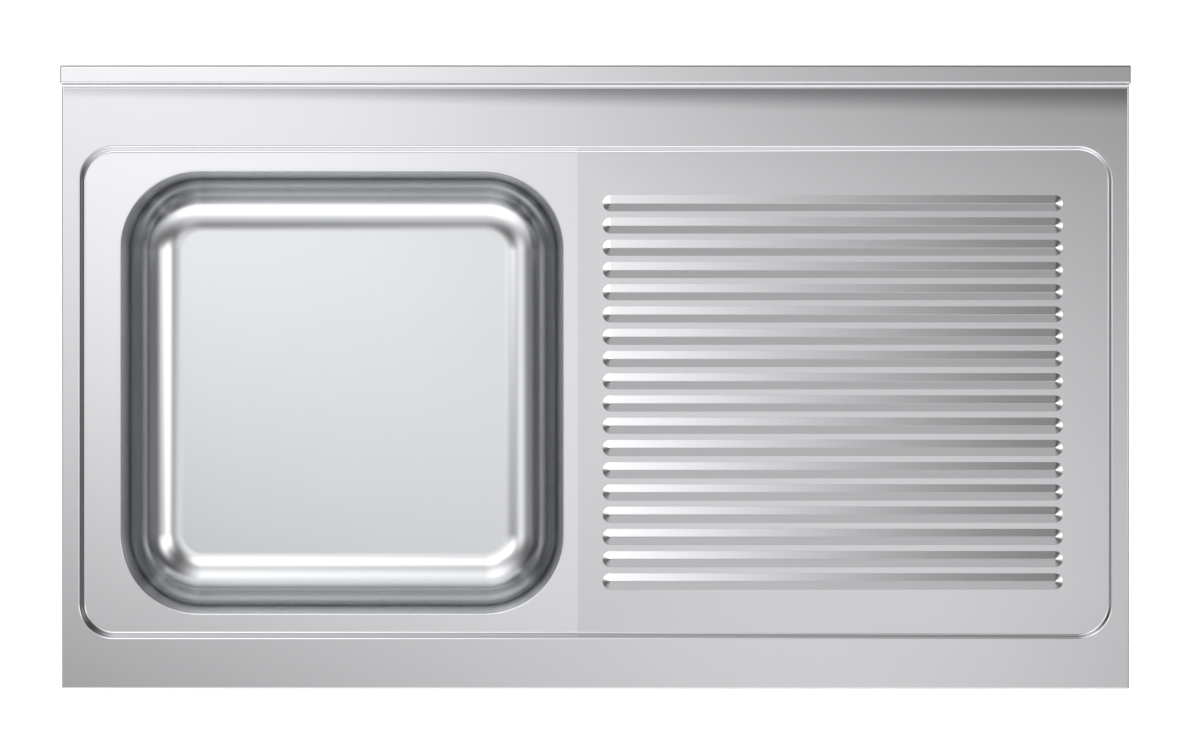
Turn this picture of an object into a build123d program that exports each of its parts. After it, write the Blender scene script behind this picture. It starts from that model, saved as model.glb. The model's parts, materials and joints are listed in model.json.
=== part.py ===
from build123d import *
import os
from math import atan, ceil, cos, degrees, radians, sin, tan

os.makedirs("parts", exist_ok=True)

# Stainless steel sink top, all sizes in mm. The origin is the centre of the plan, on the plane of the
# aprons' return flanges, which lie on the cabinet. +X is to the right, +Y to the wall, +Z up.

# Pressed top
sheet = 1.2  # thickness of top, upstand and bowl
top_width = 1200
top_depth = 700
apron_height = 40
return_flange = 20  # turned inwards at the foot of the aprons
edge_radius = 2  # outside of the apron bends
seat_gap = 0.3  # between pieces that aren't welded edge to edge

# Upstand at the wall, folded from its own strip
upstand_height = 100  # above the top
upstand_depth = 20
upstand_radius = 2
cove_radius = 4
foot_land = 1  # flat strip between the weld and the cove
rear_flange = 12
cap_sheet = 1.5  # end caps set into the upstand's ends

# Tray pressed into the top, shallower at the far end of the drainer
tray_side_margin = 18.5
tray_front_margin = 56
tray_rear_margin = 69  # to the face of the upstand
tray_radius = 40
tray_drop_bowl = 8.5
tray_drop_far = 4
riser_angle = 30  # from the vertical
riser_radius = 3

# Bowl
bowl_width = 500
bowl_height = 250
bowl_side_gap = 46.5  # from the tray's left side
bowl_tray_gap = 27.5  # from the tray's front and rear
bowl_radius = 90
bowl_draft = 2
bowl_floor_radius = 60
rim_radius = 2
rim_land = 1  # flat strip between the weld and the rim's roll

# Drainer ribs
crease_gap = 15  # from the bowl to the line where the fall starts
rib_start_gap = 28
rib_end_gap = 56
rib_edge_gap = 64
rib_pitch = 25
rib_width = 18
rib_height = 1.7

# Stiffening under the top
channel_sheet = 1.5
channel_bend = 1.5  # inside radius
channel_height = 22
channel_web = 30
channel_brim = 12
channel_end_gap = 12
channel_first_gap = 28  # from the crease to the first channel's centre line
channel_last_gap = 40  # from the tray's right side to the last one's
channel_longest_gap = 180
rail_height = 22
rail_brim = 11
rail_side_gap = 4
rail_end_gap = 8

# Fixing brackets and their fasteners
bracket_sheet = 3
bracket_bend = 2  # inside radius
bracket_width = 24
bracket_leg = 40  # along the rail
bracket_drop = 38  # below the return flange's plane
bracket_hole_drop = 22
screw_hole = 6.5
thread = 6
thread_gap = 0.1
stud_length = 15
nut_flats = 10
nut_height = 5
washer_width = 12
washer_height = 1.6

# Equipotential bonding point under the rear rail
earth_inset = 120  # from the right side
earth_sheet = 2
earth_width = 25
earth_foot = 20
earth_drop = 24
earth_hole_drop = 14
bolt_length = 16
bolt_head = 4

# Sound-deadening pads
pad_thickness = 3
pad_radius = 12
floor_pad_inset = 28  # from the edge of the bowl's flat floor
wall_pad_inset = 25
wall_pad_top = 30  # below the rim
drainer_pad_gap = 12
drainer_pad_inset = 40

# Places that follow from the sizes above
side = top_width / 2
front = -top_depth / 2
wall = top_depth / 2
face = wall - upstand_depth  # front face of the upstand
plate_rear = face - cove_radius - foot_land  # weld between top and upstand
top_z = apron_height
under_z = top_z - sheet
tray_left = -side + tray_side_margin
tray_right = side - tray_side_margin
tray_front = front + tray_front_margin
tray_rear = face - tray_rear_margin
tray_width = tray_right - tray_left
tray_depth = tray_rear - tray_front
tray_middle = (tray_front + tray_rear) / 2
bowl_left = tray_left + bowl_side_gap
bowl_right = bowl_left + bowl_width
bowl_x = (bowl_left + bowl_right) / 2
bowl_depth = tray_depth - 2 * bowl_tray_gap
rim_z = top_z - tray_drop_bowl
crease = bowl_right + crease_gap
fall = (tray_drop_bowl - tray_drop_far) / (tray_right - crease)
fall_angle = degrees(atan(fall))
rib_left = crease + rib_start_gap
rib_right = tray_right - rib_end_gap
rib_count = int((tray_depth - 2 * rib_edge_gap) / rib_pitch) + 1
rib_lines = [tray_middle + (i - (rib_count - 1) / 2) * rib_pitch for i in range(rib_count)]


# The drainer's top surface above a point, and a plane that lies on it
def drainer_z(x):
    return rim_z + (x - crease) * fall


def drainer_plane(x, y, drop):
    tilt = radians(fall_angle)
    spot = (x + drop * sin(tilt), y, drainer_z(x) - drop * cos(tilt))
    return Plane(origin=spot, x_dir=(cos(tilt), 0, sin(tilt)), z_dir=(-sin(tilt), 0, cos(tilt)))


# The space over the tray: a round-cornered pocket whose floor is level by the bowl and rises to the right.
# Grown by the sheet's thickness it gives the tray's underside.
def tray_space(grow):
    inset = riser_radius * tan(radians(90 - riser_angle) / 2) - grow / cos(radians(riser_angle))
    deep = tray_drop_bowl + grow + 1
    low = rim_z - grow
    reach = side + edge_radius
    with BuildPart() as space:
        with BuildSketch(Plane.XY.offset(top_z)):
            with Locations(((tray_left + tray_right) / 2, tray_middle)):
                RectangleRounded(tray_width - 2 * inset, tray_depth - 2 * inset, tray_radius - inset)
        extrude(amount=-deep, taper=riser_angle)
        with BuildSketch(Plane.XZ):
            with BuildLine():
                Polyline(
                    (-reach, low),
                    (crease, low),
                    (reach, low + (reach - crease) * fall),
                    (reach, low - 2 * deep),
                    (-reach, low - 2 * deep),
                    close=True,
                )
            make_face()
        extrude(amount=top_depth, both=True, mode=Mode.SUBTRACT)
        floor = space.faces().filter_by(lambda f: f.normal_at().Z < -0.99)
        outline = floor.edges().filter_by(lambda e: abs(e.center().X - crease) > 1 or e.length < tray_depth / 2)
        fillet(outline, riser_radius + grow)
    return space.part


# One drainer rib: a low gable with half-cone ends, standing on the sloping floor
def rib():
    middle = rib_width / 2
    start = drainer_plane(rib_left + middle, 0, 0)
    end = drainer_plane(rib_right - middle, 0, 0)
    across = Plane(start.origin, x_dir=start.y_dir, z_dir=start.x_dir)
    across_end = Plane(end.origin, x_dir=end.y_dir, z_dir=end.x_dir)
    with BuildPart() as ridge:
        with BuildSketch(across):
            with BuildLine():
                Polyline((-middle, -sheet), (middle, -sheet), (middle, 0), (0, rib_height), (-middle, 0), close=True)
            make_face()
        extrude(amount=(end.origin - start.origin).length)
        with BuildSketch(across):
            with BuildLine():
                Polyline((0, -sheet), (middle, -sheet), (middle, 0), (0, rib_height), close=True)
            make_face()
        revolve(axis=Axis(start.origin, start.z_dir), revolution_arc=180)
        with BuildSketch(across_end):
            with BuildLine():
                Polyline((0, -sheet), (-middle, -sheet), (-middle, 0), (0, rib_height), close=True)
            make_face()
        revolve(axis=Axis(end.origin, end.z_dir), revolution_arc=180)
    return ridge.part


# Pressed top: the solid under its upper surface, less the solid under its lower one
one_rib = rib()
upper_space = tray_space(0)
lower_space = tray_space(sheet)

with BuildPart() as upper_body:
    with Locations((0, (front + wall - sheet) / 2, 0)):
        Box(top_width, top_depth - sheet, apron_height, align=(Align.CENTER, Align.CENTER, Align.MIN))
    rear_edges = upper_body.faces().sort_by(Axis.Y)[-1].edges()
    fillet(upper_body.edges() - rear_edges, edge_radius)
    add(upper_space, mode=Mode.SUBTRACT)
    tray_edge = upper_body.faces().filter_by(Plane.XY).sort_by(Axis.Z)[-1].inner_wires()[0].edges()
    fillet(tray_edge, riser_radius)
    with Locations(*[(0, y, 0) for y in rib_lines]):
        add(one_rib)

with BuildPart() as lower_body:
    with Locations((0, (front + wall) / 2 + sheet, sheet)):
        Box(top_width - 2 * sheet, top_depth, apron_height - 2 * sheet, align=(Align.CENTER, Align.CENTER, Align.MIN))
    rear_edges = lower_body.faces().sort_by(Axis.Y)[-1].edges()
    fillet(lower_body.edges() - rear_edges, edge_radius - sheet)
    add(lower_space, mode=Mode.SUBTRACT)
    tray_edge = lower_body.faces().filter_by(Plane.XY).sort_by(Axis.Z)[-1].inner_wires()[0].edges()
    fillet(tray_edge, riser_radius - sheet)
    with Locations(*[(0, y, -sheet) for y in rib_lines]):
        add(one_rib)

with BuildPart() as worktop_sheet:
    add(upper_body.part)
    add(lower_body.part, mode=Mode.SUBTRACT)
    # cut-out for the bowl
    with BuildSketch(Plane.XY):
        with Locations((bowl_x, tray_middle)):
            RectangleRounded(bowl_width + 2 * rim_land, bowl_depth + 2 * rim_land, bowl_radius + rim_land)
    extrude(amount=top_z, mode=Mode.SUBTRACT)
    # inner edge of the return flanges, open to the rear
    with BuildSketch(Plane.XY):
        with Locations((0, (front + return_flange + wall) / 2)):
            Rectangle(top_width - 2 * return_flange, top_depth - return_flange)
        with Locations((0, (face + wall) / 2)):
            Rectangle(top_width - 2 * edge_radius, upstand_depth)
    extrude(amount=sheet, mode=Mode.SUBTRACT)
    # the top plate stops where the upstand is welded on
    with BuildSketch(Plane.XY.offset(under_z)):
        with Locations((0, (plate_rear + wall) / 2)):
            Rectangle(top_width, wall - plate_rear)
    extrude(amount=sheet, mode=Mode.SUBTRACT)
worktop_sheet.part.label = "worktop_sheet"
export_step(worktop_sheet.part, "parts/worktop_sheet.step")

# Upstand: one strip folded from the weld, up the face, over the top and down the back
with BuildPart() as upstand:
    with BuildSketch(Plane.YZ.offset(-side)):
        with BuildLine():
            skin = FilletPolyline(
                (plate_rear, top_z),
                (face, top_z),
                (face, top_z + upstand_height),
                (wall, top_z + upstand_height),
                (wall, 0),
                (wall - sheet - rear_flange, 0),
                radius=(cove_radius, upstand_radius, upstand_radius, upstand_radius),
            )
            lining = FilletPolyline(
                (plate_rear, under_z),
                (face + sheet, under_z),
                (face + sheet, under_z + upstand_height),
                (wall - sheet, under_z + upstand_height),
                (wall - sheet, sheet),
                (wall - sheet - rear_flange, sheet),
                radius=(
                    cove_radius + sheet,
                    upstand_radius - sheet,
                    upstand_radius - sheet,
                    upstand_radius - sheet,
                ),
            )
            Line(skin @ 0, lining @ 0)
            Line(skin @ 1, lining @ 1)
        make_face()
    extrude(amount=top_width)
    # the flange stops inside the bends of the side aprons
    with BuildSketch(Plane.XY):
        for end in (-1, 1):
            with Locations((end * (side - (edge_radius + seat_gap) / 2), wall - sheet - upstand_depth / 2)):
                Rectangle(edge_radius + seat_gap, upstand_depth)
    extrude(amount=under_z, mode=Mode.SUBTRACT)
upstand.part.label = "upstand"
export_step(upstand.part, "parts/upstand.step")

# End caps, set flush into the ends of the upstand, above the side aprons
cap_width = upstand_depth - 2 * sheet
for name, start in (("end_cap_left", -side), ("end_cap_right", side - cap_sheet)):
    with BuildPart() as end_cap:
        with BuildSketch(Plane.YZ.offset(start)) as outline:
            with Locations(((face + wall) / 2, under_z + upstand_height / 2)):
                Rectangle(cap_width, upstand_height)
            fillet(outline.vertices().sort_by(Axis.Y)[-2:], upstand_radius - sheet)
        extrude(amount=cap_sheet)
    end_cap.part.label = name
    export_step(end_cap.part, f"parts/{name}.step")


# The bowl's inside, grown by the sheet's thickness for its outside
def bowl_space(grow):
    inset = rim_radius * tan(radians(90 - bowl_draft) / 2) - grow / cos(radians(bowl_draft))
    with BuildPart() as space:
        with BuildSketch(Plane.XY.offset(rim_z)):
            with Locations((bowl_x, tray_middle)):
                RectangleRounded(bowl_width - 2 * inset, bowl_depth - 2 * inset, bowl_radius - inset)
        extrude(amount=-bowl_height - grow, taper=bowl_draft)
        fillet(space.faces().sort_by(Axis.Z)[0].edges(), bowl_floor_radius + grow)
    return space.part


# A block that fills the cut-out, with the bowl's hollow in it and the rim's roll around its mouth
def bowl_block(hollow, height, roll):
    foot = rim_z - bowl_height - 3 * sheet
    with BuildPart() as block:
        with BuildSketch(Plane.XY.offset(foot)):
            with Locations((bowl_x, tray_middle)):
                RectangleRounded(bowl_width + 2 * rim_land, bowl_depth + 2 * rim_land, bowl_radius + rim_land)
        extrude(amount=height - foot)
        add(hollow, mode=Mode.SUBTRACT)
        fillet(block.faces().sort_by(Axis.Z)[-1].inner_wires()[0].edges(), roll)
    return block.part


bowl_upper = bowl_block(bowl_space(0), rim_z, rim_radius)
bowl_lower = bowl_block(bowl_space(sheet), rim_z - sheet, rim_radius - sheet)
with BuildPart() as bowl:
    add(bowl_upper)
    add(bowl_lower, mode=Mode.SUBTRACT)
bowl.part.label = "bowl"
export_step(bowl.part, "parts/bowl.step")


# Section of a top-hat channel with its brims up at y = 0, web being its width inside
def hat_section(web, brim, height, thick):
    half = web / 2
    inner, outer = channel_bend, channel_bend + thick
    with BuildSketch() as section:
        with BuildLine():
            skin = FilletPolyline(
                (-half - brim, 0),
                (-half, 0),
                (-half, thick - height),
                (half, thick - height),
                (half, 0),
                (half + brim, 0),
                radius=(outer, inner, inner, outer),
            )
            lining = FilletPolyline(
                (-half - brim, -thick),
                (-half - thick, -thick),
                (-half - thick, -height),
                (half + thick, -height),
                (half + thick, -thick),
                (half + brim, -thick),
                radius=(inner, outer, outer, inner),
            )
            Line(skin @ 0, lining @ 0)
            Line(skin @ 1, lining @ 1)
        make_face()
    return section.sketch


# Section of a bent angle with its outer corner at 0, 0, one leg along -x and one along -y
def angle_section(foot, drop, thick, bend):
    with BuildSketch() as section:
        with BuildLine():
            skin = FilletPolyline((-foot, 0), (0, 0), (0, -drop), radius=bend + thick)
            lining = FilletPolyline((-foot, -thick), (-thick, -thick), (-thick, -drop), radius=bend)
            Line(skin @ 0, lining @ 0)
            Line(skin @ 1, lining @ 1)
        make_face()
    return section.sketch


# Rails under the front and rear border, spot-welded by their brims
front_rail_room = (front + sheet + rail_side_gap, tray_front - rail_side_gap)
rear_rail_room = (tray_rear + rail_side_gap, plate_rear - rail_side_gap)
rail_lines = {}
for name, room in (("front_rail", front_rail_room), ("rear_rail", rear_rail_room)):
    rail_y = sum(room) / 2
    rail_lines[name] = rail_y
    rail_end = side - sheet - rail_end_gap
    with BuildPart() as rail:
        with BuildSketch(Plane(origin=(-rail_end, rail_y, under_z), x_dir=(0, 1, 0), z_dir=(1, 0, 0))):
            add(hat_section(room[1] - room[0] - 2 * rail_brim, rail_brim, rail_height, channel_sheet))
        extrude(amount=2 * rail_end)
    rail.part.label = name
    export_step(rail.part, f"parts/{name}.step")
rail_foot = under_z - rail_height

# Channels under the drainer, at right angles to the ribs, touching the sheet between the ribs
channel_first = crease + channel_first_gap
channel_last = tray_right - channel_last_gap
channel_spaces = ceil((channel_last - channel_first) / channel_longest_gap)
channel_step = (channel_last - channel_first) / channel_spaces
for i in range(channel_spaces + 1):
    under = drainer_plane(channel_first + i * channel_step, tray_front + channel_end_gap, sheet)
    with BuildPart() as channel:
        with BuildSketch(Plane(under.origin, x_dir=-under.x_dir, z_dir=under.y_dir)):
            add(hat_section(channel_web, channel_brim, channel_height, channel_sheet))
        extrude(amount=tray_depth - 2 * channel_end_gap)
    channel.part.label = f"drainer_channel_{i + 1}"
    export_step(channel.part, f"parts/drainer_channel_{i + 1}.step")

# Angle brackets at the rails' ends, which reach down inside the cabinet's side panels
bracket_face = side - return_flange - seat_gap
stud_x = bracket_face - bracket_sheet - bracket_leg / 2
bracket_front_y = front + return_flange + seat_gap + bracket_width / 2  # clear of the front return flange
bracket_spots = {}
for end_name, y in (("front", bracket_front_y), ("rear", rail_lines["rear_rail"])):
    for side_name, hand in (("left", -1), ("right", 1)):
        bracket_spots[f"bracket_{end_name}_{side_name}"] = (hand, y)
for name, (hand, y) in bracket_spots.items():
    with BuildPart() as bracket:
        with BuildSketch(Plane(origin=(hand * bracket_face, y, rail_foot), x_dir=(hand, 0, 0), z_dir=(0, -hand, 0))):
            add(angle_section(bracket_sheet + bracket_leg, rail_foot + bracket_drop, bracket_sheet, bracket_bend))
        extrude(amount=bracket_width / 2, both=True)
        with BuildSketch(Plane.XY.offset(rail_foot)):
            with Locations((hand * stud_x, y)):
                Circle(screw_hole / 2)
        extrude(amount=-bracket_sheet, mode=Mode.SUBTRACT)
        with BuildSketch(Plane.YZ.offset(hand * bracket_face)):
            with Locations((y, -bracket_hole_drop)):
                Circle(screw_hole / 2)
        extrude(amount=-hand * bracket_sheet, mode=Mode.SUBTRACT)
    bracket.part.label = name
    export_step(bracket.part, f"parts/{name}.step")

# Weld studs, washers and nuts, one of each at every bracket
stud_spots = [(hand * stud_x, y) for hand, y in bracket_spots.values()]
washer_top = rail_foot - bracket_sheet
nut_top = washer_top - washer_height
with BuildPart() as bracket_studs:
    with BuildSketch(Plane.XY.offset(rail_foot)):
        with Locations(*stud_spots):
            Circle(thread / 2)
    extrude(amount=-stud_length)
bracket_studs.part.label = "bracket_studs"
export_step(bracket_studs.part, "parts/bracket_studs.step")

with BuildPart() as bracket_washers:
    with BuildSketch(Plane.XY.offset(washer_top)):
        with Locations(*stud_spots):
            Circle(washer_width / 2)
            Circle(screw_hole / 2, mode=Mode.SUBTRACT)
    extrude(amount=-washer_height)
bracket_washers.part.label = "bracket_washers"
export_step(bracket_washers.part, "parts/bracket_washers.step")

with BuildPart() as bracket_nuts:
    with BuildSketch(Plane.XY.offset(nut_top)):
        with Locations(*stud_spots):
            RegularPolygon(nut_flats / 2, 6, major_radius=False)
            Circle(thread / 2 + thread_gap, mode=Mode.SUBTRACT)
    extrude(amount=-nut_height)
bracket_nuts.part.label = "bracket_nuts"
export_step(bracket_nuts.part, "parts/bracket_nuts.step")

# Bonding point: a small angle welded under the rear rail, with a bolt along +Y
earth_x = side - earth_inset
earth_y = rail_lines["rear_rail"]
earth_z = rail_foot - earth_hole_drop
with BuildPart() as earth_tab:
    with BuildSketch(Plane(origin=(earth_x, earth_y, rail_foot), x_dir=(0, 1, 0), z_dir=(1, 0, 0))):
        add(angle_section(earth_foot, earth_drop, earth_sheet, channel_bend))
    extrude(amount=earth_width / 2, both=True)
    with BuildSketch(Plane.XZ.offset(-earth_y)):
        with Locations((earth_x, earth_z)):
            Circle(screw_hole / 2)
    extrude(amount=earth_sheet, mode=Mode.SUBTRACT)
earth_tab.part.label = "earth_tab"
export_step(earth_tab.part, "parts/earth_tab.step")

# the bolt's head and one washer lie behind the tab, the other washer and the nut in front of it
head_y = earth_y + washer_height
nut_y = earth_y - earth_sheet - washer_height
with BuildPart() as earth_bolt:
    with BuildSketch(Plane.XZ.offset(-head_y)):
        with Locations((earth_x, earth_z)):
            RegularPolygon(nut_flats / 2, 6, major_radius=False)
    extrude(amount=-bolt_head)
    with BuildSketch(Plane.XZ.offset(-head_y)):
        with Locations((earth_x, earth_z)):
            Circle(thread / 2)
    extrude(amount=bolt_length)
earth_bolt.part.label = "earth_bolt"
export_step(earth_bolt.part, "parts/earth_bolt.step")

with BuildPart() as earth_washers:
    for washer_y in (earth_y, nut_y):
        with BuildSketch(Plane.XZ.offset(-washer_y)):
            with Locations((earth_x, earth_z)):
                Circle(washer_width / 2)
                Circle(screw_hole / 2, mode=Mode.SUBTRACT)
        extrude(amount=-washer_height)
earth_washers.part.label = "earth_washers"
export_step(earth_washers.part, "parts/earth_washers.step")

with BuildPart() as earth_nut:
    with BuildSketch(Plane.XZ.offset(-nut_y)):
        with Locations((earth_x, earth_z)):
            RegularPolygon(nut_flats / 2, 6, major_radius=False)
            Circle(thread / 2 + thread_gap, mode=Mode.SUBTRACT)
    extrude(amount=nut_height)
earth_nut.part.label = "earth_nut"
export_step(earth_nut.part, "parts/earth_nut.step")

# Pad glued under the bowl's flat floor
bowl_foot = rim_z - bowl_height - sheet
floor_inset = bowl_height * tan(radians(bowl_draft)) + bowl_floor_radius + rim_radius + floor_pad_inset
with BuildPart() as bowl_floor_pad:
    with BuildSketch(Plane.XY.offset(bowl_foot)):
        with Locations((bowl_x, tray_middle)):
            RectangleRounded(bowl_width - 2 * floor_inset, bowl_depth - 2 * floor_inset, pad_radius)
    extrude(amount=-pad_thickness)
bowl_floor_pad.part.label = "bowl_floor_pad"
export_step(bowl_floor_pad.part, "parts/bowl_floor_pad.step")

# Pads glued on the bowl's four walls, leaning with the draft
draft = radians(bowl_draft)
roll_inset = rim_radius * tan(radians(90 - bowl_draft) / 2)
wall_pad_foot = bowl_height - bowl_floor_radius - wall_pad_top / 2
wall_pad_middle = (wall_pad_top + wall_pad_foot) / 2
wall_in = roll_inset + wall_pad_middle * tan(draft) - sheet / cos(draft)
for name, turn, reach, length in (
    ("right", 0, bowl_width / 2, bowl_depth),
    ("rear", 90, bowl_depth / 2, bowl_width),
    ("left", 180, bowl_width / 2, bowl_depth),
    ("front", 270, bowl_depth / 2, bowl_width),
):
    out = Vector(1, 0, 0).rotate(Axis.Z, turn)
    along = Vector(0, 1, 0).rotate(Axis.Z, turn)
    spot = Vector(bowl_x, tray_middle, rim_z - wall_pad_middle) + out * (reach - wall_in)
    lean = out * cos(draft) - Vector(0, 0, 1) * sin(draft)
    with BuildPart() as wall_pad:
        with BuildSketch(Plane(spot, x_dir=along, z_dir=lean)):
            RectangleRounded(
                length - 2 * bowl_radius - 2 * wall_pad_inset, wall_pad_foot - wall_pad_top, pad_radius
            )
        extrude(amount=pad_thickness)
    wall_pad.part.label = f"bowl_wall_pad_{name}"
    export_step(wall_pad.part, f"parts/bowl_wall_pad_{name}.step")

# Pads glued under the drainer, one between each two channels
pad_length = channel_step - channel_web - 2 * channel_brim - 2 * drainer_pad_gap
for i in range(channel_spaces):
    under = drainer_plane(channel_first + (i + 0.5) * channel_step, tray_middle, sheet)
    with BuildPart() as drainer_pad:
        with BuildSketch(under):
            RectangleRounded(pad_length, tray_depth - 2 * drainer_pad_inset, pad_radius)
        extrude(amount=-pad_thickness)
    drainer_pad.part.label = f"drainer_pad_{i + 1}"
    export_step(drainer_pad.part, f"parts/drainer_pad_{i + 1}.step")
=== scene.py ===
import bpy
import bmesh
import json
from math import atan, atan2, cos, exp, pi, radians, sin, tan
from mathutils import Matrix, Vector
from mathutils.geometry import delaunay_2d_cdt


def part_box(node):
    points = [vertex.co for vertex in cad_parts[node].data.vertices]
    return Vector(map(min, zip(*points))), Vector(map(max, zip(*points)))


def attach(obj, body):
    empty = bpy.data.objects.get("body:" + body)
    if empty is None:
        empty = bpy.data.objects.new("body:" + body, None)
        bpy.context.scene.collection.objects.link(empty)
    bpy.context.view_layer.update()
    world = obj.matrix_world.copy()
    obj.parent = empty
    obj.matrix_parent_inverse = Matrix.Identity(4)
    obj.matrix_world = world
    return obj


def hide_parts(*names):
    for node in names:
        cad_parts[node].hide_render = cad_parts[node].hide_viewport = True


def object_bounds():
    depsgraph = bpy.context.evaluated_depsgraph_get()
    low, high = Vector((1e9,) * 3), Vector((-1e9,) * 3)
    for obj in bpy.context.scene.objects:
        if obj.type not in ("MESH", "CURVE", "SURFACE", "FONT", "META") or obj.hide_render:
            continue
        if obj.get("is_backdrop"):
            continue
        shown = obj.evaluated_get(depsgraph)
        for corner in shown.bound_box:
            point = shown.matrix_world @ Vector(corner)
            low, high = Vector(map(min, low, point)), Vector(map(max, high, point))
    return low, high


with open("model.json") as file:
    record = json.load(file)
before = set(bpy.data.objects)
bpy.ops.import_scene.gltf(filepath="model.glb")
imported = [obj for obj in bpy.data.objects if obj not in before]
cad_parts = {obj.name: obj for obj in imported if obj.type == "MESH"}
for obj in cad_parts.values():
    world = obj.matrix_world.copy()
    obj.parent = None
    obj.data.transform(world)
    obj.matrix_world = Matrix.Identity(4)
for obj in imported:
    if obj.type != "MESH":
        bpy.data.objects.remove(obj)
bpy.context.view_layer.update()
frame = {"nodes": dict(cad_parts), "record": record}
mm = 0.001
print("frame loaded:", len(frame["nodes"]), "nodes")

# The picture looks straight down on the top, with the wall side up
shot = {
    "distance": 34.0,  # far away with a long lens, so that the sides stay upright
    "width": 1348.9 * mm,  # what the picture's width covers at the level of the top
    "aim": (5.1 * mm, -0.4 * mm),
    "sensor": 36.0,
    "clipStart": 1.0,
}


def placeCamera():
    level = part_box("worktop_sheet")[1].z
    cam = bpy.data.objects.new("shotCamera", bpy.data.cameras.new("shotCamera"))
    bpy.context.scene.collection.objects.link(cam)
    cam.data.sensor_width = shot["sensor"]
    cam.data.lens = shot["sensor"] * shot["distance"] / shot["width"]
    cam.location = (*shot["aim"], level + shot["distance"])
    cam.data.clip_start = shot["clipStart"]
    cam.data.clip_end = 2 * shot["distance"]
    bpy.context.scene.camera = cam


placeCamera()

# Sheet skins: every face corner carries the true normal of the surface it belongs to, so that
# rounds and flats meet without a shading step, and the back of the sheet is a true parallel surface.
# Two corners of a face closer than "point" are one, a face under "area" is left out, and points of
# neighbouring patches closer than "merge" are joined.
tolerance = {
    "point": 1e-7,
    "area": 1e-13,
    "merge": 2e-6,
    "split": 1e-9,  # for the triangulation of flat areas
    "near": 1e-6,  # for the question on which side of a line or an angle something lies
}


def newSkin(start=None):
    skin = bmesh.new()
    if start:
        skin.from_mesh(start)
    name = "skinNormal"
    layers = skin.loops.layers.float_vector
    return skin, layers.get(name) or layers.new(name)


def skinFace(skin, corners):
    bm, layer = skin
    kept = [c for i, c in enumerate(corners) if (c[0] - corners[i - 1][0]).length > tolerance["point"]]
    if len(kept) < 3:
        return
    area = Vector()
    for (a, _), (b, _) in zip(kept, kept[1:] + kept[:1]):
        area += a.cross(b)
    if area.length < tolerance["area"]:
        return
    if area.dot(sum((n for _, n in kept), Vector())) < 0:
        kept.reverse()
    face = bm.faces.new([bm.verts.new(p) for p, _ in kept])
    for loop, (_, n) in zip(face.loops, kept):
        loop[layer] = n


# quads between neighbouring closed rows of (point, normal)
def skinRows(skin, rows):
    for low, high in zip(rows, rows[1:]):
        for i in range(len(low)):
            j = (i + 1) % len(low)
            skinFace(skin, [low[i], low[j], high[j], high[i]])


def insideLoop(x, y, loop):
    inside = False
    for (ax, ay), (bx, by) in zip(loop, loop[1:] + loop[:1]):
        if (ay > y) != (by > y) and x < ax + (y - ay) * (bx - ax) / (by - ay):
            inside = not inside
    return inside


# flat area between an outer loop and its holes; lift gives the 3-D point, facing its normal
def skinFill(skin, loops, lift, facing):
    flat = [p for loop in loops for p in loop]
    edges = []
    first = 0
    for loop in loops:
        edges += [(first + i, first + (i + 1) % len(loop)) for i in range(len(loop))]
        first += len(loop)
    points, _, faces, *_ = delaunay_2d_cdt([Vector(p) for p in flat], edges, [], 1, tolerance["split"])
    for face in faces:
        cx = sum(points[i].x for i in face) / len(face)
        cy = sum(points[i].y for i in face) / len(face)
        if sum(insideLoop(cx, cy, loop) for loop in loops) == 1:
            skinFace(skin, [(lift(points[i].x, points[i].y), facing) for i in face])


# a rectangle with round corners as (x, y, outward x, outward y), with extra stops on its long runs
def roundLoop(centre, half, radius, steps, stops=()):
    found = []
    for quarter, (sx, sy) in enumerate(((1, -1), (1, 1), (-1, 1), (-1, -1))):
        cx = centre[0] + sx * (half[0] - radius)
        cy = centre[1] + sy * (half[1] - radius)
        for i in range(steps + 1):
            turn = (quarter - 1 + i / steps) * pi / 2
            nx, ny = cos(turn), sin(turn)
            found.append((cx + radius * nx, cy + radius * ny, nx, ny))
        if quarter == 1:
            found += [(x, centre[1] + half[1], 0, 1) for x in sorted(stops, reverse=True)]
        if quarter == 3:
            found += [(x, centre[1] - half[1], 0, -1) for x in sorted(stops)]
    return found


# gives an open skin its thickness and closes its rims
def sheetObject(name, skin, thickness):
    bm, layer = skin
    bmesh.ops.remove_doubles(bm, verts=bm.verts, dist=tolerance["merge"])
    bmesh.ops.dissolve_degenerate(bm, edges=bm.edges, dist=tolerance["point"])
    bm.verts.index_update()
    upper = list(bm.verts)
    lower = []
    for v in upper:
        normals = [loop[layer] for loop in v.link_loops]
        mean = sum(normals, Vector()).normalized()
        reach = min(mean.dot(n) for n in normals)
        lower.append(bm.verts.new(v.co - mean * thickness / reach))
    rimLoops = [e.link_loops[0] for e in bm.edges if e.is_boundary]
    rims = [(loop.vert.index, loop.link_loop_next.vert.index) for loop in rimLoops]
    for face in list(bm.faces):
        loops = list(face.loops)[::-1]
        back = bm.faces.new([lower[loop.vert.index] for loop in loops])
        for new, old in zip(back.loops, loops):
            new[layer] = -old[layer]
    for a, b in rims:
        rim = bm.faces.new([upper[b], upper[a], lower[a], lower[b]])
        rim.normal_update()
        for loop in rim.loops:
            loop[layer] = rim.normal
    return normalObject(name, skin)


def normalObject(name, skin):
    bm, layer = skin
    mesh = bpy.data.meshes.new(name)
    bm.to_mesh(mesh)
    bm.free()
    normals = [Vector(item.vector).normalized() for item in mesh.attributes["skinNormal"].data]
    mesh.attributes.remove(mesh.attributes["skinNormal"])
    mesh.shade_smooth()
    mesh.normals_split_custom_set(normals)
    made = bpy.data.objects.new(name, mesh)
    bpy.context.scene.collection.objects.link(made)
    return made


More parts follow.
